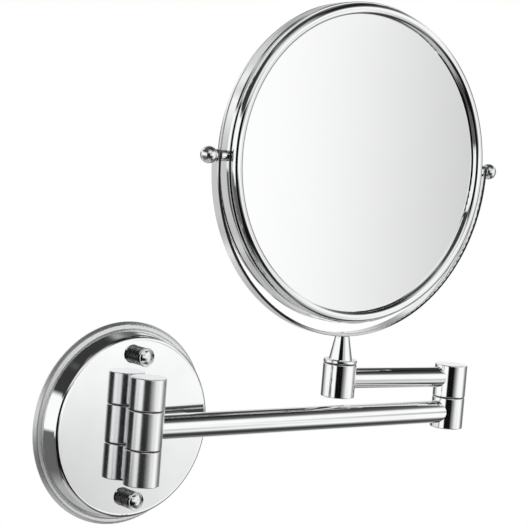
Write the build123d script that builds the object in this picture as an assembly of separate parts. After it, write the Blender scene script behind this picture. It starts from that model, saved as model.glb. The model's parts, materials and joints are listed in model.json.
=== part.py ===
from build123d import *
import os
from math import cos, radians, sin

# Extendable shaving mirror: a round wall cover, a folding arm of two tubes, a swivelling yoke
# and a double-sided round mirror that tilts between two ball knobs.
# Millimetres. +X runs right along the wall, +Y into the wall and +Z up.
# The origin is the centre of the wall cover, on the wall's surface.

# Wall cover, strap and thumb nuts
cover_radius = 65.0
cover_depth = 15.2
cover_sheet = 1.5
cover_foot_radius = 60.6
cover_shoulder_radius = 57.6
cover_lip_height = 3.2
cover_lip_edge = 0.9
strap_width = 24.0
strap_length = 106.0
strap_thickness = 2.0
wall_hole_spacing = 50.0
wall_hole_radius = 2.75
stud_spacing = 91.2
stud_radius = 2.5
nut_radius = 6.0
nut_height = 8.6
nut_knurl_height = 6.6

# Hinge barrels
barrel_radius = 11.5
barrel_standoff = 0.3
barrel_half_height = 34.1
barrel_edge = 0.6
arm_height = 1.2
arm_knuckle_height = 24.8
seam = 0.6
washer_thickness = 0.5
washer_radius = 11.0
pin_radius = 3.5
turning_fit = 0.05
fixed_fit = 0.03
knuckle_pad_radius = 4.0
knuckle_screw_radius = 2.0

# Arm tubes, with heights counted from the middle of the wall barrel's turning segment
lower_length = 258.0
upper_length = 95.5
lower_tube_radius = 8.0
upper_tube_radius = 7.2
tube_wall = 1.2
tube_stop = 7.0
lower_rise = 0.8
upper_rise = 25.4
elbow_bottom = -10.7
elbow_seam = 11.5
elbow_top = 34.5
stem_bottom = 12.9
stem_seam = 36.1
flange_top = 38.8
cone_base_radius = 8.0
cone_top_radius = 4.9
spigot_radius = 4.0
counterbore_radius = 6.0
counterbore_depth = 4.6
spring_rise = 0.3

# Yoke and mirror head, in the head's own frame: x along the tilt axis, y up, z out of the mirror
mirror_rise = 172.2
yoke_radius = 115.7
yoke_thickness = 2.2
yoke_width = 8.0
yoke_edge = 0.6
yoke_drop = 1.8
pivot_radius = 2.0
spacer_radius = 3.7
pivot_washer_radius = 4.0
pivot_washer_thickness = 0.6
knob_ball_radius = 5.6
knob_ball_centre = 120.8
frame_radius = 108.4
frame_sheet = 1.6
frame_setback = 1.6
frame_shift = -0.3
frame_half_width = 7.3
band_half_width = 5.5
band_flat_half = 3.4
band_taper = 0.5
bead_radius = 4.0
bead_circle = 103.5
bead_rise = 0.3
shoulder_radius = 108.3
shoulder_height = 6.4
shoulder_edge = 0.3
skirt_depth = 0.9
glass_radius = 104.6
glass_thickness = 2.4
dish_radius = 1000.0
dish_thickness = 2.0
spacer_ring_radius = 102.6
spacer_ring_width = 3.2

# Pose in which the object is shown
lower_angle = 2.2
upper_angle = 188.4
head_angle = -3.87
tilt_angle = 1.6

# Places that follow from the dimensions above
up = Vector(0, 0, 1)
lower_dir = Vector(cos(radians(lower_angle)), -sin(radians(lower_angle)), 0)
upper_dir = Vector(cos(radians(upper_angle)), -sin(radians(upper_angle)), 0)
arm_level = up * arm_height
base_axis = Vector(0, -(cover_depth + barrel_standoff + barrel_radius), 0)
elbow_axis = base_axis + lower_dir * lower_length
stem_axis = elbow_axis + upper_dir * upper_length
yoke_plane = Plane(
    origin=stem_axis + arm_level + up * mirror_rise,
    x_dir=(cos(radians(head_angle)), sin(radians(head_angle)), 0),
    z_dir=(sin(radians(head_angle)), -cos(radians(head_angle)), 0),
)
head_place = yoke_plane.location * Rot(X=-tilt_angle)
frame_place = head_place * Pos(-frame_shift, 0, -frame_setback)
wall_out = Plane(origin=(0, 0, 0), x_dir=(1, 0, 0), z_dir=(0, -1, 0))


def rod(radius, start, end):
    """A round bar from height start to height end on the local Z axis."""
    return Pos(0, 0, start) * Cylinder(radius, end - start, align=(Align.CENTER, Align.CENTER, Align.MIN))


def sleeve(outer, inner, start, end):
    """A plain round sleeve on the local Z axis."""
    return rod(outer, start, end) - rod(inner, start - 1, end + 1)


def turned(section):
    """A turned piece from a section drawn as radius and height."""
    return revolve(Plane.XZ * section, Axis.Z)


def rounded(section, corner, radius):
    """The section with its corner nearest to the given point rounded."""
    return fillet(section.vertices().sort_by_distance((*corner, 0))[0], radius)


def place_on(axis, level=0.0):
    """A location standing on a vertical hinge axis, at a height above the middle of the turning segment."""
    return Pos(*(axis + arm_level + up * level))


def pair(piece):
    """The piece and its twin, turned half round the local Y axis."""
    return piece + Rot(Y=180) * piece


def cover_section(inset):
    """Half of the cover's outline, moved in by a sheet's thickness, as radius and distance from the wall."""
    foot = (cover_foot_radius - inset, cover_lip_height - inset)
    shoulder = (cover_shoulder_radius - inset, cover_depth - inset)
    lip = (cover_radius - inset, cover_lip_edge - inset / 2)
    crest = (cover_radius - inset - 1.6, cover_lip_height - inset)
    outline = Polyline((0, 0), (lip[0], 0), lip, crest, foot, shoulder, (0, shoulder[1]), close=True)
    outline = make_face(outline)
    for corner, radius in ((shoulder, 3.2 - inset / 2), (foot, 1.0 + inset / 4), (crest, 1.4)):
        outline = rounded(outline, corner, radius)
    return outline


def wall_cover():
    """A pressed round cover with a rolled lip, drilled for the studs and the knuckle screws."""
    shell = turned(cover_section(0)) - turned(cover_section(cover_sheet))
    shell = wall_out.location * shell
    for side in (-1, 1):
        shell -= stud_place(side) * rod(stud_radius + 0.2, 0, cover_depth + 1)
        shell -= knuckle_screw_place(side) * rod(knuckle_screw_radius + 0.2, 0, cover_depth + 1)
    return shell


def stud_place(side):
    return wall_out.location * Pos(0, side * stud_spacing / 2, 0)


def knuckle_screw_place(side):
    seam_level = arm_height + side * arm_knuckle_height / 2
    return wall_out.location * Pos(0, (seam_level + side * barrel_half_height) / 2, 0)


def wall_strap():
    """A flat strap with round ends, screwed to the wall behind the cover."""
    strap = extrude(SlotOverall(strap_length, strap_width, rotation=90), strap_thickness)
    strap = wall_out.location * strap
    for side in (-1, 1):
        strap -= stud_place(side) * rod(stud_radius + fixed_fit, -1, strap_thickness + 1)
        strap -= wall_out.location * Pos(0, side * wall_hole_spacing / 2, 0) * rod(wall_hole_radius, -1, 3)
    return strap


def strap_studs():
    """Two studs riveted in the strap, each with a collar on the strap's front."""
    stud = rod(stud_radius, 0, cover_depth + nut_knurl_height - 1)
    stud += rod(stud_radius + 1.5, strap_thickness, strap_thickness + 1.2)
    return stud_place(-1) * stud + stud_place(1) * stud


def dome(radius, level, rise):
    """The arc of a shallow dome, from its edge to the turning axis."""
    sphere = (radius**2 + rise**2) / (2 * rise)
    middle = level + rise - sphere + (sphere**2 - (radius / 2) ** 2) ** 0.5
    return ThreePointArc((radius, level), (radius / 2, middle), (0, level + rise))


def thumb_nuts():
    """Two round thumb nuts with a grip band, a polished rim and a domed end."""
    grip = nut_radius - 0.3
    dome_radius = nut_radius - 1.7
    outline = make_face([
        Polyline((0, 0), (grip - 0.4, 0), (grip, 0.4), (grip, nut_knurl_height)),
        Polyline((grip, nut_knurl_height), (nut_radius, nut_knurl_height + 0.3)),
        Polyline((nut_radius, nut_knurl_height + 0.3), (nut_radius, nut_height - 0.7)),
        Polyline((nut_radius, nut_height - 0.7), (nut_radius - 0.7, nut_height)),
        Polyline((nut_radius - 0.7, nut_height), (dome_radius + 0.3, nut_height)),
        Line((dome_radius + 0.3, nut_height), (dome_radius, nut_height - 0.3)),
        dome(dome_radius, nut_height - 0.3, 1.0),
        Line((0, nut_height + 0.7), (0, 0)),
    ])
    nut = turned(outline) - rod(stud_radius + fixed_fit, -1, nut_knurl_height - 1)
    nut = Pos(0, 0, cover_depth) * nut
    return stud_place(-1) * nut + stud_place(1) * nut


def barrel(start, end):
    """One round segment of a hinge barrel with rounded edges."""
    segment = rod(barrel_radius, start, end)
    return fillet(segment.edges().filter_by(GeomType.CIRCLE), barrel_edge)


def tube_hole(direction, level, radius):
    """The flat-bottomed hole in a barrel's side that a tube's end is pushed into."""
    mouth = Plane(origin=direction * tube_stop + up * level, z_dir=direction)
    return mouth.location * rod(radius + fixed_fit, 0, barrel_radius)


def wall_knuckle(side):
    """A fixed barrel segment, seated on the cover by a round pad and pinned on its hinge axis."""
    near = side * (arm_knuckle_height / 2 + seam / 2)
    far = side * barrel_half_height - arm_height
    segment = barrel(min(near, far), max(near, far))
    pin_end = far - side * 5.0
    segment -= rod(pin_radius + fixed_fit, min(near, pin_end) - (side > 0), max(near, pin_end) + (side < 0))
    segment = place_on(base_axis) * segment
    pad = rod(knuckle_pad_radius, cover_depth, cover_depth + barrel_radius / 2)
    segment += knuckle_screw_place(side) * pad - place_on(base_axis) * rod(pin_radius + 1, -50, 50)
    screw_hole = rod(knuckle_screw_radius + fixed_fit, cover_depth - 1, cover_depth + 6.2)
    return segment - knuckle_screw_place(side) * screw_hole


def knuckle_screws():
    """Two pan-head screws, driven from inside the cover into the wall knuckles."""
    inside = cover_depth - cover_sheet
    head = fillet(rod(4.0, inside - 2.6, inside).edges().group_by(Axis.Z)[0], 0.9)
    screw = head + rod(knuckle_screw_radius, inside, cover_depth + 6.0)
    screw -= Pos(0, 0, inside - 2.6) * Box(5.0, 1.0, 2.4)
    return knuckle_screw_place(-1) * screw + knuckle_screw_place(1) * screw


def base_hinge_pin():
    """The plain pin through all three segments of the wall barrel."""
    bottom = -barrel_half_height - arm_height + 5.0
    top = barrel_half_height - arm_height - 5.0
    return place_on(base_axis) * rod(pin_radius, bottom, top)


def base_washers():
    """Two thin friction washers in the wall barrel's seams."""
    half = arm_knuckle_height / 2 + seam / 2
    upper = sleeve(washer_radius, pin_radius + turning_fit, half - washer_thickness, half)
    lower = sleeve(washer_radius, pin_radius + turning_fit, -half, -half + washer_thickness)
    return place_on(base_axis) * (upper + lower)


def arm_knuckle():
    """The turning middle segment of the wall barrel, which carries the lower tube."""
    half = arm_knuckle_height / 2 - seam / 2
    segment = barrel(-half, half) - rod(pin_radius + turning_fit, -50, 50)
    segment -= tube_hole(lower_dir, lower_rise, lower_tube_radius)
    return place_on(base_axis) * segment


def arm_tube(start_axis, end_axis, level, radius):
    """A round tube between two barrels, stopping short of both hinge axes."""
    direction = (end_axis - start_axis).normalized()
    length = (end_axis - start_axis).length
    run = Plane(origin=start_axis + arm_level + up * level, z_dir=direction)
    return run.location * sleeve(radius, radius - tube_wall, tube_stop, length - tube_stop)


def elbow_lower_knuckle():
    """The elbow's lower segment, bored for the pin and counterbored below for its nut."""
    segment = barrel(elbow_bottom, elbow_seam - seam / 2) - rod(pin_radius + turning_fit, -50, 50)
    segment -= rod(counterbore_radius, elbow_bottom - 1, elbow_bottom + counterbore_depth)
    segment -= tube_hole(-lower_dir, lower_rise, lower_tube_radius)
    return place_on(elbow_axis) * segment


def elbow_upper_knuckle():
    """The elbow's upper segment, with a blind bore that grips the pin."""
    segment = barrel(elbow_seam + seam / 2, elbow_top)
    segment -= rod(pin_radius + fixed_fit, elbow_seam, elbow_top - 5.0)
    segment -= tube_hole(upper_dir, upper_rise, upper_tube_radius)
    return place_on(elbow_axis) * segment


def elbow_pin():
    """The elbow's stepped pin with a threaded lower end."""
    shoulder = elbow_bottom + counterbore_depth + 0.6
    pin = rod(pin_radius, shoulder, elbow_top - 5.0) + rod(2.5, elbow_bottom + 0.4, shoulder)
    return place_on(elbow_axis) * pin


def spring_washer(inner, outer, thickness, rise):
    """A conical spring washer whose outer edge is at the top, at height zero."""
    section = Polygon((inner, -rise), (outer, 0), (outer, -thickness), (inner, -rise - thickness), align=None)
    return turned(section)


def elbow_spring_washer():
    """The conical washer that keeps the elbow stiff."""
    washer = spring_washer(2.6, 5.4, 0.8, spring_rise)
    return place_on(elbow_axis, elbow_bottom + counterbore_depth - 0.05) * washer


def elbow_nut():
    """The hexagon nut on the elbow pin, hidden in the counterbore."""
    nut = extrude(RegularPolygon(4.6, 6), -3.0) - rod(2.5 + fixed_fit, -4, 1)
    return place_on(elbow_axis, elbow_bottom + counterbore_depth - 0.05 - 0.8 - spring_rise) * nut


def thin_washer(axis, level, inner):
    """A thin friction washer lying on a barrel's end."""
    return place_on(axis, level) * sleeve(washer_radius, inner, 0, washer_thickness)


def stem_socket():
    """The upright barrel at the end of the upper tube, bored for the swivel's spigot."""
    segment = barrel(stem_bottom, stem_seam - seam / 2) - rod(spigot_radius + turning_fit, 0, 50)
    segment -= rod(counterbore_radius, stem_bottom - 1, stem_bottom + counterbore_depth)
    segment -= tube_hole(-upper_dir, upper_rise, upper_tube_radius)
    return place_on(stem_axis) * segment


def cone_top():
    """The height of the yoke's underside, where the cone meets it."""
    return mirror_rise - yoke_drop - yoke_radius


def swivel_cone():
    """The turned swivel: a spigot, a flange as wide as the stem and a cone up to the yoke."""
    flange = barrel(stem_seam + seam / 2, flange_top)
    rise = cone_top() - flange_top
    cone = Cone(cone_base_radius, cone_top_radius, rise, align=(Align.CENTER, Align.CENTER, Align.MIN))
    cone = Pos(0, 0, flange_top) * cone
    spigot = rod(spigot_radius, stem_bottom + counterbore_depth + 0.3, stem_seam + seam / 2)
    swivel = flange + cone + spigot
    swivel -= rod(pivot_radius + fixed_fit, stem_bottom, stem_bottom + counterbore_depth + 10)
    swivel -= rod(pivot_radius + fixed_fit, cone_top() - 9, cone_top() + 1)
    return place_on(stem_axis) * swivel


def swivel_spring_washer():
    """The conical washer that keeps the swivel stiff."""
    washer = spring_washer(2.1, 5.4, 0.8, spring_rise)
    return place_on(stem_axis, stem_bottom + counterbore_depth - 0.05) * washer


def swivel_screw():
    """The pan-head screw under the stem, which holds the spigot down."""
    under = stem_bottom + counterbore_depth - 0.05 - 0.8 - spring_rise
    head = fillet(rod(4.2, under - 2.6, under).edges().group_by(Axis.Z)[0], 0.9)
    screw = head + rod(pivot_radius, under, stem_bottom + counterbore_depth + 9)
    return place_on(stem_axis) * (screw - Pos(0, 0, under - 2.6) * Box(5.4, 1.1, 2.4))


def yoke_strip():
    """A strip with rounded edges, bent to a half ring with short round-ended arms up to the tilt axis."""
    middle = yoke_radius - yoke_thickness / 2
    section = RectangleRounded(yoke_thickness, yoke_width, yoke_edge)
    ring = revolve(Plane.XZ * Pos(middle, 0) * section, Axis.Z, revolution_arc=180)
    strip = Pos(0, -yoke_drop, 0) * Rot(Z=180) * ring
    arm = extrude(Plane.XZ * Pos(middle, 0) * section, yoke_drop)
    end = rod(yoke_width / 2, -yoke_thickness / 2, yoke_thickness / 2)
    end = fillet(end.edges().filter_by(GeomType.CIRCLE), yoke_edge)
    end = Pos(middle, 0, 0) * Rot(Y=90) * end
    upper_half = Box(yoke_width, yoke_width, yoke_width, align=(Align.CENTER, Align.MIN, Align.CENTER))
    end &= Pos(middle, 0, 0) * upper_half
    strip += pair(arm + end)
    strip -= Rot(Y=90) * rod(pivot_radius + turning_fit, -2 * yoke_radius, 2 * yoke_radius)
    strip -= yoke_screw_shape(0.03)
    return yoke_plane.location * strip


def yoke_screw_shape(slack):
    """The countersunk screw at the foot of the yoke, widened by the given slack, pointing down."""
    top = -yoke_drop - yoke_radius + yoke_thickness - 0.12
    head = Pos(0, top, 0) * Rot(X=90) * Cone(
        3.6 + slack, pivot_radius + slack, 1.6, align=(Align.CENTER, Align.CENTER, Align.MIN))
    recess = Pos(0, top, 0) * Rot(X=-90) * rod(3.6 + slack, 0, 1) if slack else None
    shank = Pos(0, top - 1.6, 0) * Rot(X=90) * rod(pivot_radius + slack, 0, 8)
    return head + shank + recess if slack else head + shank


def yoke_screw():
    """The countersunk screw with a plain slot, flush with the yoke's inner face."""
    top = -yoke_drop - yoke_radius + yoke_thickness - 0.12
    return yoke_plane.location * (yoke_screw_shape(0) - Pos(0, top, 0) * Box(4.4, 1.2, 0.9))


def pivot_place(side):
    """The tilt axis on one side, with local Z pointing outwards from the mirror's centre."""
    return head_place * Rot(Y=90 * side)


def band_outside(side):
    """The distance from the head's middle to the band's outer face on one side's tilt axis."""
    return frame_radius - side * frame_shift


def pivot_knob(side):
    """A ball knob and its threaded shank, which passes through the yoke into the frame."""
    base = yoke_radius + pivot_washer_thickness
    ball = Pos(0, 0, knob_ball_centre) * Sphere(knob_ball_radius)
    ball &= rod(2 * knob_ball_radius, base + 1.2, knob_ball_centre + 2 * knob_ball_radius)
    neck = rod(spacer_radius, base, base + 1.2)
    shank = rod(pivot_radius, band_outside(side) - frame_sheet - 3.0, base)
    return pivot_place(side) * (ball + neck + shank)


def pivot_spacers():
    """Two short sleeves that keep the mirror's frame clear of the yoke."""
    end = yoke_radius - yoke_thickness - pivot_washer_thickness
    left = sleeve(spacer_radius, pivot_radius + fixed_fit, band_outside(-1), end)
    right = sleeve(spacer_radius, pivot_radius + fixed_fit, band_outside(1), end)
    return pivot_place(-1) * left + pivot_place(1) * right


def pivot_washers():
    """Four friction washers, one on each side of the yoke at both knobs."""
    inner_start = yoke_radius - yoke_thickness - pivot_washer_thickness
    washer = sleeve(pivot_washer_radius - 0.3, pivot_radius + fixed_fit, 0.05, pivot_washer_thickness)
    outside = Pos(0, 0, yoke_radius) * washer
    inside = Pos(0, 0, inner_start - 0.05) * washer
    return pivot_place(-1) * (outside + inside) + pivot_place(1) * (outside + inside)


def pivot_nuts():
    """Two hexagon nuts inside the frame band that the knob shanks screw into."""
    nut = extrude(RegularPolygon(3.2, 6, rotation=30), 3.2) - rod(pivot_radius + fixed_fit, -1, 4)
    left = Pos(0, 0, band_outside(-1) - frame_sheet - 3.3) * nut
    right = Pos(0, 0, band_outside(1) - frame_sheet - 3.3) * nut
    return pivot_place(-1) * left + pivot_place(1) * right


def frame_band():
    """The mirror's outer band, tapered towards both rims and drilled for the two pivots."""
    edge = frame_radius - band_taper
    inner = frame_radius - frame_sheet
    band = turned(Polygon(
        (inner, -band_half_width), (edge, -band_half_width), (frame_radius, -band_flat_half),
        (frame_radius, band_flat_half), (edge, band_half_width), (inner, band_half_width), align=None))
    band = frame_place * band
    return band - pivot_place(1) * rod(pivot_radius + fixed_fit, -2 * frame_radius, 2 * frame_radius)


def bead_point(circle, height, radius, angle):
    """A point of a round bead's outline, its angle counted from straight out of the mirror."""
    return (circle + radius * sin(radians(angle)), height + radius * cos(radians(angle)))


def rim():
    """A rim in its own frame: a round bead over the glass, a shoulder on the band and a skirt in it."""
    base = frame_half_width
    level = base + bead_rise
    lip = (bead_circle - (bead_radius**2 - bead_rise**2) ** 0.5, base)
    side = bead_circle + bead_radius
    flat_end = shoulder_radius - shoulder_edge
    skirt_outer = frame_radius - frame_sheet - fixed_fit
    skirt_inner = glass_radius + 0.3
    skirt_end = band_half_width - skirt_depth
    outline = make_face([
        ThreePointArc(lip, bead_point(bead_circle, level, bead_radius, 0), (side, level)),
        Polyline((side, level), (side, shoulder_height), (flat_end, shoulder_height)),
        Line((flat_end, shoulder_height), (shoulder_radius, shoulder_height - shoulder_edge)),
        Polyline((shoulder_radius, shoulder_height - shoulder_edge), (shoulder_radius, band_half_width)),
        Polyline((shoulder_radius, band_half_width), (skirt_outer, band_half_width), (skirt_outer, skirt_end)),
        Polyline((skirt_outer, skirt_end), (skirt_inner, skirt_end), (skirt_inner, base), lip),
    ])
    return turned(outline)


def glass_spacer():
    """A ring that keeps the two glasses apart."""
    ring = sleeve(spacer_ring_radius, spacer_ring_radius - spacer_ring_width,
                  dish_thickness - frame_half_width, frame_half_width - glass_thickness)
    return frame_place * ring


def plain_glass():
    """The flat front glass, with a ground edge."""
    glass = rod(glass_radius, frame_half_width - glass_thickness, frame_half_width)
    return frame_place * chamfer(glass.edges().filter_by(GeomType.CIRCLE), 0.4)


def magnifying_glass():
    """The dished rear glass: a shallow bowl with a flat rim that the frame grips."""
    front = -frame_half_width
    bowl_radius = spacer_ring_radius - spacer_ring_width - 1.0
    depth = dish_radius - (dish_radius**2 - bowl_radius**2) ** 0.5
    middle = dish_radius - (dish_radius**2 - (bowl_radius / 2) ** 2) ** 0.5

    def dished(level):
        halfway = (bowl_radius / 2, level + depth - middle)
        return ThreePointArc((bowl_radius, level), halfway, (0, level + depth))

    outline = make_face([
        dished(front),
        Line((0, front + depth), (0, front + depth + dish_thickness)),
        dished(front + dish_thickness),
        Polyline((bowl_radius, front + dish_thickness), (glass_radius, front + dish_thickness)),
        Polyline((glass_radius, front + dish_thickness), (glass_radius, front), (bowl_radius, front)),
    ])
    return frame_place * turned(outline)


nodes = {
    "wall_strap": wall_strap(),
    "strap_studs": strap_studs(),
    "wall_cover": wall_cover(),
    "thumb_nuts": thumb_nuts(),
    "upper_wall_knuckle": wall_knuckle(1),
    "lower_wall_knuckle": wall_knuckle(-1),
    "knuckle_screws": knuckle_screws(),
    "base_hinge_pin": base_hinge_pin(),
    "base_hinge_washers": base_washers(),
    "arm_knuckle": arm_knuckle(),
    "lower_arm_tube": arm_tube(base_axis, elbow_axis, lower_rise, lower_tube_radius),
    "elbow_lower_knuckle": elbow_lower_knuckle(),
    "elbow_washer": thin_washer(elbow_axis, elbow_seam - seam / 2, pin_radius + turning_fit),
    "elbow_pin": elbow_pin(),
    "elbow_spring_washer": elbow_spring_washer(),
    "elbow_nut": elbow_nut(),
    "elbow_upper_knuckle": elbow_upper_knuckle(),
    "upper_arm_tube": arm_tube(elbow_axis, stem_axis, upper_rise, upper_tube_radius),
    "stem_socket": stem_socket(),
    "swivel_washer": thin_washer(stem_axis, stem_seam - seam / 2, spigot_radius + turning_fit),
    "swivel_cone": swivel_cone(),
    "swivel_spring_washer": swivel_spring_washer(),
    "swivel_screw": swivel_screw(),
    "yoke_strip": yoke_strip(),
    "yoke_screw": yoke_screw(),
    "pivot_knob_left": pivot_knob(-1),
    "pivot_knob_right": pivot_knob(1),
    "pivot_spacers": pivot_spacers(),
    "pivot_washers": pivot_washers(),
    "pivot_nuts": pivot_nuts(),
    "frame_band": frame_band(),
    "front_rim": frame_place * rim(),
    "rear_rim": frame_place * Rot(X=180) * rim(),
    "plain_glass": plain_glass(),
    "magnifying_glass": magnifying_glass(),
    "glass_spacer": glass_spacer(),
}

os.makedirs("parts", exist_ok=True)
for name, shape in nodes.items():
    export_step(shape, f"parts/{name}.step")

print("base axis", base_axis, "elbow axis", elbow_axis, "stem axis", stem_axis)
print("tilt axis centre", yoke_plane.origin, "along", yoke_plane.x_dir)
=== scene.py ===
# %% [markdown]
# # An extendable shaving mirror in polished chrome
# The shapes of the tubes, barrels, cover, yoke and mirror come from the CAD frame, which is loaded
# first. This lesson adds what the solids leave plain: the finishes, the knurled thumb nuts, an evenly
# meshed rear glass and a studio that chrome can reflect, because polished metal has no look of its own
# until there is something around it.

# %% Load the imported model
import json
import math

import bpy
from mathutils import Matrix, Vector


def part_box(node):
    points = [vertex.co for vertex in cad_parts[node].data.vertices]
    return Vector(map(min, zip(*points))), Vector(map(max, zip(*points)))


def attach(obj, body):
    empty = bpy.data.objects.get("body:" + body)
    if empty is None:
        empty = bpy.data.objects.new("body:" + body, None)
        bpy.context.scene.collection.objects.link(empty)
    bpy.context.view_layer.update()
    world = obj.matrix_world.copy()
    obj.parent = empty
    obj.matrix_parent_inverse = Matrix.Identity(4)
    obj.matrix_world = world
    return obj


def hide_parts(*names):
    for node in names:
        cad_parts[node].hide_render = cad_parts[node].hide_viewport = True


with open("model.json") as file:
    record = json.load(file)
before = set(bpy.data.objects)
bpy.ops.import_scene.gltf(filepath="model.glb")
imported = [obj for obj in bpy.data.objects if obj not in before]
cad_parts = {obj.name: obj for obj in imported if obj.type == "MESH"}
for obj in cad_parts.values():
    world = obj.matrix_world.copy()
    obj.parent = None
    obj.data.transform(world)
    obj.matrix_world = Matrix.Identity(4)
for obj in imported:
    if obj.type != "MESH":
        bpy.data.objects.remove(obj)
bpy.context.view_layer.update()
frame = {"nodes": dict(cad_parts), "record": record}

MM = 0.001
MICRON = 0.000001

# %% [markdown]
# ## The camera
# The photographer stood to the left of the wall cover, a little over a metre away, and held the camera
# slightly above the mirror's middle with a small tilt to one side. The place and the three turns were
# found by fitting the edges of the barrels, tubes and rings, so the camera is written as a heading, a
# pitch and a roll.

# %% Camera
stand = Vector((-0.63127, -0.88292, 0.20315))
heading, pitch, roll = (math.radians(a) for a in (39.92, -5.0, 4.62))
ahead = Vector((math.sin(heading), math.cos(heading), 0))
look = ahead * math.cos(pitch) + Vector((0, 0, math.sin(pitch)))
level_right = Vector((math.cos(heading), -math.sin(heading), 0))
level_up = level_right.cross(look)
right = math.cos(roll) * level_right + math.sin(roll) * level_up
up = math.cos(roll) * level_up - math.sin(roll) * level_right

bpy.ops.object.camera_add()
camera = bpy.context.object
camera.name = "photo_camera"
camera.data.sensor_width = 36
camera.data.lens = 118.05
camera.data.clip_start = 0.01
place = Matrix((right, up, -look)).transposed().to_4x4()
place.translation = stand
camera.matrix_world = place
bpy.context.scene.camera = camera
bpy.context.scene.view_settings.view_transform = "Standard"
print("camera at", [round(v, 3) for v in stand], "lens", camera.data.lens)

# %% [markdown]
# ## Small helpers for node trees
# A finish or a studio is a chain of nodes. A few helpers keep the chains readable: one adds a node and
# sets its fields, one does a step of arithmetic on a socket or a number, and three blend from one thing
# to another.

# %% Node helpers
def add(tree, kind, **fields):
    """A new node in the tree, with its fields set by name."""
    new = tree.nodes.new(kind)
    for field, value in fields.items():
        setattr(new, field, value)
    return new


def feed(tree, socket, value):
    """A socket takes a link from another socket, or a plain number, vector or colour."""
    if isinstance(value, bpy.types.NodeSocket):
        tree.links.new(value, socket)
    else:
        socket.default_value = value


def sum_step(tree, operation, *values):
    """One arithmetic step, as a socket."""
    step = add(tree, "ShaderNodeMath", operation=operation)
    for socket, value in zip(step.inputs, values):
        feed(tree, socket, value)
    return step.outputs[0]

# %% Blending helpers
def ramp(tree, value, start, end):
    """A socket that goes softly from 0 to 1 while the value goes from start to end."""
    step = add(tree, "ShaderNodeMapRange", interpolation_type="SMOOTHSTEP")
    feed(tree, step.inputs["Value"], value)
    feed(tree, step.inputs["From Min"], start)
    feed(tree, step.inputs["From Max"], end)
    return step.outputs["Result"]


def blend(tree, share, first, second):
    """The first number where the share is 0 and the second where it is 1."""
    mix = add(tree, "ShaderNodeMix", data_type="FLOAT")
    for name, value in (("Factor", share), ("A", first), ("B", second)):
        feed(tree, mix.inputs[name], value)
    return mix.outputs["Result"]


def blend_shaders(tree, share, first, second):
    """The first shader where the share is 0 and the second where it is 1."""
    mix = add(tree, "ShaderNodeMixShader")
    for socket, value in zip(mix.inputs, (share, first, second)):
        feed(tree, socket, value)
    return mix.outputs[0]

# %% [markdown]
# ## The studio round the part
# Chrome shows the room. In a product studio the room is made of cards: white walls give the bright
# flats, and black flags beside the lens draw the dark stripes that make a tube look round. A lamp-lit
# set of real cards would work, but cards on a sphere far away keep the same place in every reflection,
# so each one can be written as the piece of sky that it covers: an azimuth range (0 is straight out
# from the wall, positive to the right) and an elevation range.

# %% Directions in the world's nodes
world = bpy.data.worlds.new("studio")
bpy.context.scene.world = world
world.use_nodes = True
room = world.node_tree
room.nodes.clear()
direction = add(room, "ShaderNodeSeparateXYZ")
feed(room, direction.inputs[0], add(room, "ShaderNodeTexCoord").outputs["Generated"])
out_from_wall = sum_step(room, "MULTIPLY", direction.outputs["Y"], -1.0)
azimuth = sum_step(room, "DEGREES", sum_step(room, "ARCTAN2", direction.outputs["X"], out_from_wall))
elevation = sum_step(room, "DEGREES", sum_step(room, "ARCSINE", direction.outputs["Z"]))
print("world nodes for directions", len(room.nodes))

# %% A soft-edged card on the sphere
def inside(angle, limits, softness, turns=False):
    """1 between the two angles, falling softly to 0 outside them."""
    middle, half = (limits[0] + limits[1]) / 2, (limits[1] - limits[0]) / 2
    away = sum_step(room, "SUBTRACT", angle, middle)
    if turns:
        away = sum_step(room, "WRAP", away, 180.0, -180.0)
    return ramp(room, sum_step(room, "ABSOLUTE", away), half + softness, half - softness)


def hang_cards(wall, cards):
    """The wall's brightness with cards hung before it, each in front of those above it in the list."""
    for azimuths, elevations, softness, brightness in cards:
        share = inside(elevation, elevations, softness[1])
        if azimuths:
            share = sum_step(room, "MULTIPLY", share, inside(azimuth, azimuths, softness[0], turns=True))
        wall = blend(room, share, wall, brightness)
    return wall
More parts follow.
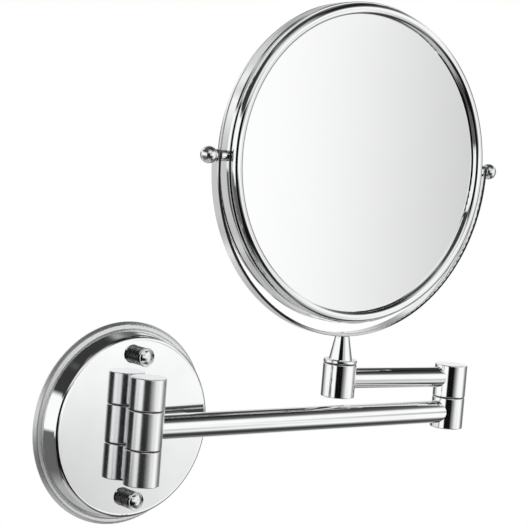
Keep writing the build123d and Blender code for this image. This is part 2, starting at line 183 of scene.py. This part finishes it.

# %% [markdown]
# Each card is an azimuth range, an elevation range, the softness of its upright and level edges in
# degrees, and its brightness, where 1 is white. A card with no azimuths goes all round. The elevations
# -130 and 130 lie past straight down and straight up, so that such a card has one edge only. They
# were hung as in a real studio: by looking at where the stripes on the metal fall in the picture and
# in the photograph, and at the end by comparing how bright the rim is in each direction.

# %% The cards
DOWN, UP = -130, 130
white_wall = 1.03                                    # a little over white, as the plate keeps some
fields_for_flats = [
    ((37, 46), (-5.5, 7), (6, 2), 0.52),             # shades the glass towards its right
    ((18, 37), (-22, -10.5), (6, 3), 0.62),          # shades the cover's flat face towards its left
]
studio_cards = [
    (None, (DOWN, -37), (0, 7), 0.30),               # dim ground
    ((-165, -92), (-62, -10.5), (8, 2), 0.13),       # dark, low on the left and behind
    ((-97, -62), (-62, -15), (9, 3), 0.09),          # dark, low on the left
    ((-80, -45), (-62, -38), (12, 8), 0.03),         # black, near the ground in front on the left
    ((150, 210), (-72, -36), (12, 8), 0.42),         # grey, near the ground behind
    (None, (DOWN, -62), (0, 7), 0.55),               # paler ground straight below
    ((-40, 4), (-34, -4), (22, 3), 0.16),            # soft and dark, in front below the lens
    ((0, 32), (-52, -18), (14, 4), 0.32),            # grey, low in front on the right
    ((-24, 16), (-50, -13), (9, 3), 0.01),           # black flag, low in front
    ((-18, 6), (8, 26), (12, 3), 0.50),              # grey, in front beside the flag
    ((-63, -18), (-44, 24), (5, 3), 0.004),          # tall black flag round the lens
    ((-166, -143), (-42, 12), (7, 12), 0.60),        # grey strip behind on the left
    ((138, 172), (-50, 40), (8, 8), 0.50),           # grey strip behind on the right
    ((160, 197), (-26, 9), (7, 5), 0.10),            # dark strip straight behind
    ((68, 122), (-60, 22), (18, 8), 0.18),           # soft dark wall on the right
    (None, (33, UP), (0, 8), 0.20),                  # dim ceiling
    ((-158, -48), (23, 64), (9, 3), 0.04),           # black, high on the left
    ((-52, 22), (48, 70), (8, 6), 0.36),             # grey, high in front
    ((-42, 14), (26, 50), (8, 5), 0.85),             # white panel above the lens
    ((-215, -145), (50, 76), (10, 5), 0.04),         # black, high behind
    ((112, 143), (28, 50), (8, 5), 0.06),            # black, high on the right and behind
    ((150, 218), (35, 47), (10, 5), 0.90),           # white strip, high behind
    (None, (70, UP), (0, 5), 0.05),                  # black straight above
    ((22, 122), (43, 80), (12, 13), 0.015),          # soft and black, high on the right
    ((16, 98), (-66, -44), (10, 5), 0.05),           # black, near the ground on the right
]
seen = hang_cards(white_wall, studio_cards + fields_for_flats)
print("cards", len(studio_cards) + len(fields_for_flats), "world nodes", len(room.nodes))

# %% [markdown]
# ## Who sees the cards
# The picture's background is plain white, so camera rays get white. Reflections in the chrome see the
# cards. The glass and the flat face of the cover are the truly sharp surfaces, and a flag that fills a
# flat mirror turns it black from that side. So their first reflection sees a calm white room with a few
# large grey fields, while the chrome beside them still finds the cards in them. Everything that is not
# shiny, such as the floor and the black washers, is lit by an even soft light of plain strength.

# %% A calm room for sharp reflections
calm_fields = [
    ((-70, -10), (-60, 60), (30, 25), 0.66),         # pale grey in front on the left
    ((95, 175), (-60, 60), (25, 25), 0.70),          # pale grey behind on the right
]
calm = hang_cards(white_wall, calm_fields + fields_for_flats)
rays = add(room, "ShaderNodeLightPath").outputs
first_bounce = sum_step(room, "LESS_THAN", rays["Glossy Depth"], 1.5)
sharp_and_first = sum_step(room, "MULTIPLY", rays["Is Singular Ray"], first_bounce)
room_seen = blend(room, sharp_and_first, seen, calm)
print("fields in the calm room", len(calm_fields) + len(fields_for_flats))

# %% Light paths
def light(colour, strength=1.0):
    """A background of the world."""
    background = add(room, "ShaderNodeBackground")
    feed(room, background.inputs["Color"], colour)
    feed(room, background.inputs["Strength"], strength)
    return background.outputs[0]


soft_light = light((0.96, 0.97, 1.0, 1), 0.85)
mirror_rays = sum_step(room, "MAXIMUM", rays["Is Glossy Ray"], rays["Is Transmission Ray"])
on_the_part = blend_shaders(room, mirror_rays, soft_light, light(room_seen))
whole_room = blend_shaders(room, rays["Is Camera Ray"], on_the_part, light((1, 1, 1, 1)))
feed(room, add(room, "ShaderNodeOutputWorld").inputs["Surface"], whole_room)
print("world ready with", len(room.nodes), "nodes")

# %% [markdown]
# ## The floor and one lamp
# The mirror hangs on a wall, so the floor is a pale disc some way below it, which takes the part's
# shadow in views from above. Its edge fades into the white room. Reflections pass through it to the
# cards, as if it were not there.

# %% Floor
floor_place = (0.12, -0.03, -0.30)
floor_radius = 0.70
fade_start, fade_end = 0.30, 0.69
floor_grain = 9.0
floor_tones = (0.90, 0.94)
bpy.ops.object.select_all(action="DESELECT")
bpy.ops.mesh.primitive_circle_add(vertices=96, radius=floor_radius, fill_type="NGON", location=floor_place)
floor = bpy.context.object
floor.name = "studio_floor"
print("floor at", floor_place[2], "m")

# %% Floor paint
pale = bpy.data.materials.new("pale_floor")
pale.use_nodes = True
tree = pale.node_tree
tree.nodes.clear()
spot = add(tree, "ShaderNodeTexCoord").outputs["Object"]
grain = add(tree, "ShaderNodeTexNoise")
feed(tree, grain.inputs["Vector"], spot)
feed(tree, grain.inputs["Scale"], floor_grain)
tone = add(tree, "ShaderNodeMapRange")
feed(tree, tone.inputs["Value"], grain.outputs["Fac"])
feed(tree, tone.inputs["To Min"], floor_tones[0])
feed(tree, tone.inputs["To Max"], floor_tones[1])
paint = add(tree, "ShaderNodeBsdfDiffuse")
feed(tree, paint.inputs["Color"], tone.outputs["Result"])
reach = add(tree, "ShaderNodeVectorMath", operation="LENGTH")
feed(tree, reach.inputs[0], spot)
faded = ramp(tree, reach.outputs["Value"], fade_start, fade_end)
reflected = add(tree, "ShaderNodeLightPath").outputs["Is Glossy Ray"]
gone = sum_step(tree, "MAXIMUM", faded, reflected)
nothing = add(tree, "ShaderNodeBsdfTransparent").outputs[0]
surface = blend_shaders(tree, gone, paint.outputs[0], nothing)
feed(tree, add(tree, "ShaderNodeOutputMaterial").inputs["Surface"], surface)
floor.data.materials.append(pale)
print("floor fades from", fade_start, "to", fade_end, "m")

# %% Lamp
lamp_place = (0.05, -0.35, 1.3)
lamp_tilt = math.radians(-14)
bpy.ops.object.light_add(type="AREA", radius=0.9, location=lamp_place)
lamp = bpy.context.object
lamp.name = "soft_box"
lamp.rotation_euler = (lamp_tilt, 0, 0)
lamp.data.energy = 6.0
lamp.visible_glossy = False
lamp.visible_camera = False
print("lamp", lamp.data.energy, "W")

# %% [markdown]
# ## Plated metal
# Chrome plate is bright, slightly cool metal. It isn't one flat value: the polishing wheel leaves faint
# clouds in the gloss and a very slow waviness in the surface. Slow noise drives the tint and the
# roughness, and a finer noise drives a bump of a few microns, so that reflections stay sharp but not
# perfectly ruled.

# %% Metal helper
NOISE_LOW, NOISE_HIGH = 0.3, 0.7
RIPPLE_STRENGTH = 0.3


def metal(name, dark, bright, rough, cloud, ripple, ripple_depth):
    """A plated metal: tint and gloss vary in clouds per metre, and the surface has a shallow ripple."""
    finish = bpy.data.materials.new(name)
    finish.use_nodes = True
    tree = finish.node_tree
    shader = tree.nodes["Principled BSDF"]
    shader.inputs["Metallic"].default_value = 1.0
    spot = add(tree, "ShaderNodeTexCoord").outputs["Object"]
    clouds = add(tree, "ShaderNodeTexNoise")
    feed(tree, clouds.inputs["Vector"], spot)
    feed(tree, clouds.inputs["Scale"], cloud)
    feed(tree, clouds.inputs["Detail"], 3.0)
    tint = add(tree, "ShaderNodeValToRGB")
    for stop, position, colour in zip(tint.color_ramp.elements, (NOISE_LOW, NOISE_HIGH), (dark, bright)):
        stop.position = position
        stop.color = (*colour, 1)
    feed(tree, tint.inputs["Fac"], clouds.outputs["Fac"])
    feed(tree, shader.inputs["Base Color"], tint.outputs["Color"])
    gloss = add(tree, "ShaderNodeMapRange")
    limits = {"From Min": NOISE_LOW, "From Max": NOISE_HIGH, "To Min": rough[0], "To Max": rough[1]}
    for limit, value in limits.items():
        feed(tree, gloss.inputs[limit], value)
    feed(tree, gloss.inputs["Value"], clouds.outputs["Fac"])
    feed(tree, shader.inputs["Roughness"], gloss.outputs["Result"])
    waves = add(tree, "ShaderNodeTexNoise")
    feed(tree, waves.inputs["Vector"], spot)
    feed(tree, waves.inputs["Scale"], ripple)
    bump = add(tree, "ShaderNodeBump")
    feed(tree, bump.inputs["Strength"], RIPPLE_STRENGTH)
    feed(tree, bump.inputs["Distance"], ripple_depth)
    feed(tree, bump.inputs["Height"], waves.outputs["Fac"])
    feed(tree, shader.inputs["Normal"], bump.outputs["Normal"])
    return finish

# %% Chrome, knurled chrome and plated steel
chrome_tints = (0.90, 0.905, 0.91), (0.95, 0.955, 0.96)


def wheel_polished(name):
    """Bright chrome plate, straight from the polishing wheel."""
    return metal(name, *chrome_tints, (0.03, 0.055), 38.0, 160.0, 4 * MICRON)


finishes = {name: wheel_polished(name) for name in ("polished_chrome", "strip_chrome", "cover_chrome")}
finishes["turned_chrome"] = metal("turned_chrome", *chrome_tints, (0.20, 0.24), 60.0, 400.0, 4 * MICRON)
finishes["knob_chrome"] = metal("knob_chrome", (0.84, 0.845, 0.85), (0.92, 0.925, 0.93),
                                (0.16, 0.22), 200.0, 700.0, 6 * MICRON)
finishes["knurled_chrome"] = metal("knurled_chrome", (0.78, 0.785, 0.79), (0.90, 0.905, 0.91),
                                   (0.05, 0.10), 400.0, 900.0, 10 * MICRON)
finishes["plated_steel"] = metal("plated_steel", (0.56, 0.56, 0.54), (0.72, 0.72, 0.70),
                                 (0.22, 0.38), 120.0, 1400.0, 30 * MICRON)
print("metal finishes", sorted(finishes))

# %% [markdown]
# ## Darker and rougher places
# A real plated part is never equally bright all over. Some places here get a darker colour and a higher
# roughness: painted shade on the yoke's cut edges and in the knurl's valleys, and a satin finish on the
# cover's lip. One helper turns a finish dull where a share says so, and two more measure where on the
# piece a point lies, so that the share can be worked out from its place.

# %% Dulling and measuring helpers
COLOUR_MIX, NUMBER_MIX = ("RGBA", 6, 7, 2), ("FLOAT", 2, 3, 0)    # Mix node: data, A, B and Result sockets


# Used for painted shade on the yoke's edges and in the knurl's valleys, and for the cover's satin lip
def dull(finish, share, dark, rough):
    """Where the share is 1, the finish turns darker and rougher. The share is a socket of its own tree."""
    tree = finish.node_tree
    shader = tree.nodes["Principled BSDF"]
    for name, value, mix in (("Base Color", dark, COLOUR_MIX), ("Roughness", rough, NUMBER_MIX)):
        kind, first, second, result = mix
        change = add(tree, "ShaderNodeMix", data_type=kind)
        feed(tree, change.inputs["Factor"], share)
        feed(tree, change.inputs[first], shader.inputs[name].links[0].from_socket)
        feed(tree, change.inputs[second], value)
        feed(tree, shader.inputs[name], change.outputs[result])


def along(tree, what, axis):
    """How far the piece's own point or normal goes along an axis."""
    measure = add(tree, "ShaderNodeVectorMath", operation="DOT_PRODUCT")
    feed(tree, measure.inputs[0], add(tree, "ShaderNodeTexCoord").outputs[what])
    feed(tree, measure.inputs[1], axis)
    return measure.outputs["Value"]


def point_on(tree):
    """The X, Y and Z of the piece's own point, as sockets."""
    point = add(tree, "ShaderNodeSeparateXYZ")
    feed(tree, point.inputs[0], add(tree, "ShaderNodeTexCoord").outputs["Object"])
    return point.outputs

# %% [markdown]
# The yoke is a strip cut from sheet. Its two broad faces are polished. Its cut edges get painted shade:
# a near-black colour that stands in for the dark reflections they show, least at the foot of the half
# ring. In the strip's own space those edges face along the mirror's axis at rest.

# %% Painted shade on the cut edges of the yoke
edge_starts, edge_full = 0.70, 0.93
foot_half, foot_fades = 20 * MM, 50 * MM
foot_share = 0.35
# Painted shade: the yoke's cut edges get a near-black colour that stands in for their dark reflections
edge_shade_colour, cut_rough = (0.02, 0.02, 0.021, 1), 0.30
joints = frame["record"]["behaviour"]["joints"]
tilt_axis = Vector(next(joint["axis"] for joint in joints if joint["name"] == "mirror_tilt"))
out_of_mirror = tilt_axis.cross(Vector((0, 0, 1)))
strip_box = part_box("yoke_strip")
strip_middle = (strip_box[0] + strip_box[1]) / 2

tree = finishes["strip_chrome"].node_tree
facing = sum_step(tree, "ABSOLUTE", along(tree, "Normal", out_of_mirror))
on_edge = ramp(tree, facing, edge_starts, edge_full)
sideways = sum_step(tree, "SUBTRACT", along(tree, "Object", tilt_axis), strip_middle.dot(tilt_axis))
off_foot = ramp(tree, sum_step(tree, "ABSOLUTE", sideways), foot_half, foot_fades)
edge_shade_share = sum_step(tree, "MULTIPLY", on_edge, blend(tree, off_foot, foot_share, 1.0))
dull(finishes["strip_chrome"], edge_shade_share, edge_shade_colour, cut_rough)
print("edges face", [round(v, 3) for v in out_of_mirror])

# %% [markdown]
# The cover is a pressing with a rolled lip. The lip lies against the wall, where the buff only brushes
# it, so it is satin. The flat face is the opposite: it is lapped until it is a true mirror, and shows
# the barrel and the arm a second time. Both come from the distance to the wall.

# %% Satin lip and flat face of the cover
satin_starts, satin_full = -5.2 * MM, -4.4 * MM
satin, satin_rough = (0.86, 0.865, 0.87, 1), 0.42
lapped_ends, buffed_starts = 0.05 * MM, 0.30 * MM
lapped_haze = 0.05
cover_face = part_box("wall_cover")[0].y

tree = finishes["cover_chrome"].node_tree
from_wall = point_on(tree)["Y"]
dull(finishes["cover_chrome"], ramp(tree, from_wall, satin_starts, satin_full), satin, satin_rough)
off_face = ramp(tree, from_wall, cover_face + lapped_ends, cover_face + buffed_starts)
haze = sum_step(tree, "MAXIMUM", off_face, lapped_haze)
roughness = tree.nodes["Principled BSDF"].inputs["Roughness"]
buffed = roughness.links[0].from_socket
feed(tree, roughness, sum_step(tree, "MULTIPLY", buffed, haze))
print("flat face of the cover at", round(cover_face / MM, 2), "mm")

# %% [markdown]
# ## Silvered glass
# Both mirrors are glass with silver on the back. From outside they act as a very smooth metal, so the
# shader is a metal with almost no roughness and a trace of the glass's green in its tint. Only a breath
# of haze varies over it.

# %% Mirror glass
finishes["mirror_glass"] = metal("mirror_glass", (0.945, 0.955, 0.95), (0.955, 0.965, 0.96),
                                 (0.0, 0.0004), 14.0, 20.0, 0.5 * MICRON)
print("glass ready")

# %% [markdown]
# ## Black nylon and white plastic
# The friction washers are punched from black nylon sheet, and a white plastic ring keeps the two
# glasses apart. Both are dull plastics with a fine grain from the mould or the sheet.

# %% Plastics
def plastic(name, dark, bright, rough, grain, grain_depth):
    """A dull plastic: a fine grain moves the colour, the gloss and the surface."""
    finish = metal(name, dark, bright, rough, grain, grain * 4, grain_depth)
    finish.node_tree.nodes["Principled BSDF"].inputs["Metallic"].default_value = 0.0
    return finish


finishes["black_nylon"] = plastic("black_nylon", (0.010, 0.010, 0.011), (0.030, 0.030, 0.032),
                                  (0.45, 0.65), 700.0, 20 * MICRON)
finishes["white_plastic"] = plastic("white_plastic", (0.74, 0.74, 0.72), (0.82, 0.82, 0.80),
                                    (0.35, 0.5), 300.0, 30 * MICRON)
print("plastics ready")

# %% [markdown]
# ## Finishes on the CAD nodes
# The record names a finish for every node. A few pieces get their own kind of chrome instead: the wall
# barrel is turned and left satin, the knobs are only tumbled, the yoke has the painted shade on its cut
# edges and the cover its satin lip and lapped face, made above.

# %% Finishes on the CAD nodes
slot_of = {part["node"]: part["material_slot"] for part in frame["record"]["subparts"]}
own_finish = dict.fromkeys(("upper_wall_knuckle", "arm_knuckle", "lower_wall_knuckle"), "turned_chrome")
own_finish.update(dict.fromkeys(("pivot_knob_left", "pivot_knob_right"), "knob_chrome"))
own_finish.update(yoke_strip="strip_chrome", wall_cover="cover_chrome")
for node, solid in frame["nodes"].items():
    finish = finishes[own_finish.get(node, slot_of[node])]
    for material_slot in solid.material_slots:
        material_slot.material = finish
print("finished", len(slot_of), "nodes")

# %% [markdown]
# ## Knurled thumb nuts
# Two round nuts hold the cover on its studs. Each has a diamond-knurled grip for the fingers, a
# polished collar and a domed end. The knurl could be a bump map, but its points catch the light one by
# one, so it is modelled: a tube of small quads is poked, the old edges are dissolved so that diamonds
# stay, and each diamond is poked up to a point.

# %% A tube for the grip
nut_radius = 6.0 * MM
grip_start, grip_end = 0.5 * MM, 6.4 * MM
grip_radius = 5.45 * MM
point_height = 0.42 * MM
points_round, points_along = 42, 6
TOUCHING = 0.01 * MM

bpy.ops.object.select_all(action="DESELECT")
bpy.ops.mesh.primitive_cylinder_add(vertices=points_round, radius=grip_radius, depth=grip_end - grip_start,
                                    end_fill_type="NOTHING", location=(0, 0, (grip_start + grip_end) / 2))
nut = bpy.context.object
nut.name = "thumb_nut_upper"
bpy.ops.object.transform_apply(location=True, rotation=False, scale=False)
print("grip", round((grip_end - grip_start) / MM, 2), "mm long")

# %% Choosing edges
def select_edges(test):
    """In edit mode, select only the edges that pass the test on their two ends."""
    bpy.ops.mesh.select_mode(type="EDGE")
    bpy.ops.mesh.select_all(action="DESELECT")
    bpy.ops.object.mode_set(mode="OBJECT")
    mesh = bpy.context.object.data
    for edge in mesh.edges:
        edge.select = test(*(mesh.vertices[v].co for v in edge.vertices))
    bpy.ops.object.mode_set(mode="EDIT")


def runs_along(a, b):
    """An edge from one end of the new tube to the other."""
    return abs(a.z - b.z) > TOUCHING


def at_end(point):
    """On one of the tube's two open ends."""
    return min(abs(point.z - grip_start), abs(point.z - grip_end)) < TOUCHING


def old_edge(a, b):
    """An edge of the first grid: along the axis, or round it and not on the open ends."""
    across = math.hypot(a.x - b.x, a.y - b.y)
    rise = abs(a.z - b.z)
    return across < TOUCHING or (rise < TOUCHING and not at_end(a))

# %% Diamonds on the grip
bpy.ops.object.mode_set(mode="EDIT")
select_edges(runs_along)
bpy.ops.mesh.subdivide(number_cuts=points_along - 1)
bpy.ops.mesh.select_all(action="SELECT")
bpy.ops.mesh.poke()
select_edges(old_edge)
bpy.ops.mesh.dissolve_edges(use_verts=False)
bpy.ops.mesh.select_all(action="SELECT")
bpy.ops.mesh.poke(offset=point_height)
print("knurl faces", len(nut.data.polygons))

# %% [markdown]
# The collar and the dome grow from the grip's open end, ring by ring, as on a lathe: extrude the ring,
# bring it to its new radius and move it to its new height. The other end turns inwards to the threaded
# hole.

# %% Rings up to the dome
def grow(radius_now, height_now, profile):
    """Extrudes the selected ring through steps of radius and height, and returns the last ring's height."""
    for radius, height in profile:
        bpy.ops.mesh.extrude_region_move()
        scale = radius / radius_now
        bpy.ops.transform.resize(value=(scale, scale, 1), center_override=(0, 0, 0))
        bpy.ops.transform.translate(value=(0, 0, height - height_now))
        radius_now, height_now = radius, height
    return height_now


def ring_at(height):
    """A test for the edges of the ring at a height."""
    return lambda a, b: max(abs(a.z - height), abs(b.z - height)) < TOUCHING


dome_edge, dome_foot, dome_top = 4.7 * MM, 7.7 * MM, 9.3 * MM
dome_rings = 9
collar = [(5.25 * MM, 6.5 * MM), (5.25 * MM, 6.75 * MM), (5.75 * MM, 6.8 * MM), (nut_radius, 7.0 * MM),
          (nut_radius, 7.9 * MM), (5.93 * MM, 8.2 * MM), (5.7 * MM, 8.45 * MM), (5.4 * MM, 8.5 * MM),
          (5.15 * MM, 8.4 * MM), (4.95 * MM, 8.1 * MM), (4.85 * MM, 7.7 * MM), (dome_edge, dome_foot)]
dome_rise = dome_top - dome_foot
ball = (dome_edge**2 + dome_rise**2) / (2 * dome_rise)
widest = math.asin(dome_edge / ball)
dome = []
for step in range(1, dome_rings + 1):
    turn = widest * (1 - step / (dome_rings + 0.5))
    dome.append((ball * math.sin(turn), dome_top - ball * (1 - math.cos(turn))))
select_edges(ring_at(grip_end))
grow(grip_radius, grip_end, collar + dome)
bpy.ops.mesh.edge_face_add()
print("dome of a ball of", round(ball / MM, 2), "mm")

# %% The threaded hole
hole_radius, hole_depth = 2.55 * MM, 5.5 * MM
foot_radius = 5.2 * MM
DOUBLES = 5 * MICRON
nut_crease = math.radians(28)
select_edges(ring_at(grip_start))
grow(grip_radius, grip_start, [(foot_radius, 0.0), (hole_radius, 0.0), (hole_radius, hole_depth)])
bpy.ops.mesh.edge_face_add()
bpy.ops.mesh.select_all(action="SELECT")
bpy.ops.mesh.remove_doubles(threshold=DOUBLES)
bpy.ops.mesh.normals_make_consistent(inside=False)
bpy.ops.object.mode_set(mode="OBJECT")
bpy.ops.object.shade_smooth_by_angle(angle=nut_crease)
print("nut faces", len(nut.data.polygons))

# %% [markdown]
# The second nut is a copy with its own mesh, turned a little, because no two nuts are tightened to the
# same angle. Both stand on the cover's flat face, at the height of the CAD nuts.

# %% Nuts on the cover
nut_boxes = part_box("thumb_nuts")
stud_height = (nut_boxes[1].z - nut_boxes[0].z) / 2 - nut_radius
lower_turn = 23
bpy.ops.object.duplicate(linked=False)
lower_nut = bpy.context.object
lower_nut.name = "thumb_nut_lower"
for piece, height, turn in ((nut, stud_height, 0), (lower_nut, -stud_height, lower_turn)):
    bpy.ops.object.select_all(action="DESELECT")
    piece.select_set(True)
    bpy.context.view_layer.objects.active = piece
    piece.rotation_euler = (math.radians(90), math.radians(turn), 0)
    piece.location = (0, cover_face, height)
    bpy.ops.object.transform_apply(location=True, rotation=True, scale=True)
    piece.data.materials.clear()
    piece.data.materials.append(finishes["knurled_chrome"])
    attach(piece, "wall_base")
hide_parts("thumb_nuts")
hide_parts("thumb_nuts")
print("nuts at", round(cover_face, 4), "and heights", round(stud_height, 4), round(-stud_height, 4))

# %% [markdown]
# The grip gets painted shade between its points, where the knurl shades itself and reflects its own
# dark valleys. The share of painted shade comes from the distance to the nut's own axis, measured in the
# same space as both nuts' meshes.

# %% Painted shade in the knurl's valleys
valley_floor, valley_top = grip_radius + 0.12 * MM, grip_radius + 0.40 * MM
collar_starts, grip_ends = cover_face - 6.9 * MM, cover_face - 6.6 * MM
# Painted shade: the dark colour between the knurl's points stands in for the knurl's own shade
valley_shade_colour, valley_rough = (0.07, 0.07, 0.07, 1), 0.4
tree = finishes["knurled_chrome"].node_tree
point = point_on(tree)
above_axis = sum_step(tree, "SUBTRACT", sum_step(tree, "ABSOLUTE", point["Z"]), stud_height)
squares = [sum_step(tree, "POWER", side, 2.0) for side in (point["X"], above_axis)]
from_axis = sum_step(tree, "SQRT", sum_step(tree, "ADD", *squares))
valley_shade = ramp(tree, from_axis, valley_top, valley_floor)
on_grip = ramp(tree, point["Y"], collar_starts, grip_ends)
dull(finishes["knurled_chrome"], sum_step(tree, "MULTIPLY", valley_shade, on_grip), valley_shade_colour, valley_rough)
print("valleys dark below", round(valley_floor / MM, 2), "mm")

# %% [markdown]
# ## The magnifying glass
# The rear glass is a shallow bowl, ground on a ball of one metre, so that a face looks larger in it. A
# mirror shows the smallest step in its surface, and the CAD mesh left a small mark in the middle of the
# reflections. So the bowl is made anew in even rings: one ring is extruded inwards step by step and the
# last one is merged to a single point.

# %% Rings of the bowl
glass_radius, bowl_radius = 104.6 * MM, 98.4 * MM
glass_thickness, bowl_ball = 2.0 * MM, 1000.0 * MM
bowl_segments, bowl_rings = 144, 30
glass_crease = math.radians(30)


def bowl_depth(radius):
    """How far the bowl lies below its flat rim."""
    return math.sqrt(bowl_ball**2 - radius**2) - math.sqrt(bowl_ball**2 - bowl_radius**2)


def close_middle(height, top):
    """Ends a growing ring in one point on the axis."""
    bpy.ops.mesh.extrude_region_move()
    bpy.ops.mesh.merge(type="CENTER")
    bpy.ops.transform.translate(value=(0, 0, top - height))


def on_outer_edge(a, b):
    """An edge of the glass's outer circle."""
    return min(a.xy.length, b.xy.length) > glass_radius - TOUCHING


bpy.ops.object.select_all(action="DESELECT")
bpy.ops.mesh.primitive_circle_add(vertices=bowl_segments, radius=glass_radius, fill_type="NOTHING")
bowl = bpy.context.object
bowl.name = "magnifying_bowl"
rings = [bowl_radius * (1 - step / bowl_rings) for step in range(bowl_rings)]
bpy.ops.object.mode_set(mode="EDIT")
bpy.ops.mesh.select_all(action="SELECT")
height = grow(glass_radius, 0.0, [(ring, bowl_depth(ring)) for ring in rings])
close_middle(height, bowl_depth(0.0))
print("outer side of the bowl in", bowl_rings, "rings")

# %% The bowl's silvered side
select_edges(on_outer_edge)
inner_side = [(ring, glass_thickness + bowl_depth(ring)) for ring in rings]
height = grow(glass_radius, 0.0, [(glass_radius, glass_thickness)] + inner_side)
close_middle(height, glass_thickness + bowl_depth(0.0))
bpy.ops.mesh.select_all(action="SELECT")
bpy.ops.mesh.normals_make_consistent(inside=False)
bpy.ops.object.mode_set(mode="OBJECT")
bpy.ops.object.shade_smooth_by_angle(angle=glass_crease)
print("bowl faces", len(bowl.data.polygons), "depth", round(bowl_depth(0.0) / MM, 2), "mm")

# %% [markdown]
# The mirror hangs slightly tilted, so the bowl takes its axis from the largest face of the plain glass,
# and its place from the CAD glass that it stands for.

# %% The bowl in its frame
def faces_out(face):
    """How large a face is, seen from the front."""
    return face.area * face.normal.dot(out_of_mirror)


flat_glass = frame["nodes"]["plain_glass"].data
mirror_axis = max(flat_glass.polygons, key=faces_out).normal.normalized()
upright = mirror_axis.cross(tilt_axis)
corners = [vertex.co for vertex in frame["nodes"]["magnifying_glass"].data.vertices]


def middle_along(axis):
    """Half way between the CAD glass's two ends along an axis."""
    reach = [corner.dot(axis) for corner in corners]
    return axis * (min(reach) + max(reach)) / 2


rear_face = mirror_axis * min(corner.dot(mirror_axis) for corner in corners)
place = Matrix((tilt_axis, upright, mirror_axis)).transposed().to_4x4()
place.translation = middle_along(tilt_axis) + middle_along(upright) + rear_face
bowl.matrix_world = place
bpy.ops.object.transform_apply(location=True, rotation=True, scale=True)
bowl.data.materials.append(finishes["mirror_glass"])
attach(bowl, "mirror_head")
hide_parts("magnifying_glass")
print("bowl at", [round(v, 4) for v in place.translation], "facing", [round(v, 4) for v in mirror_axis])
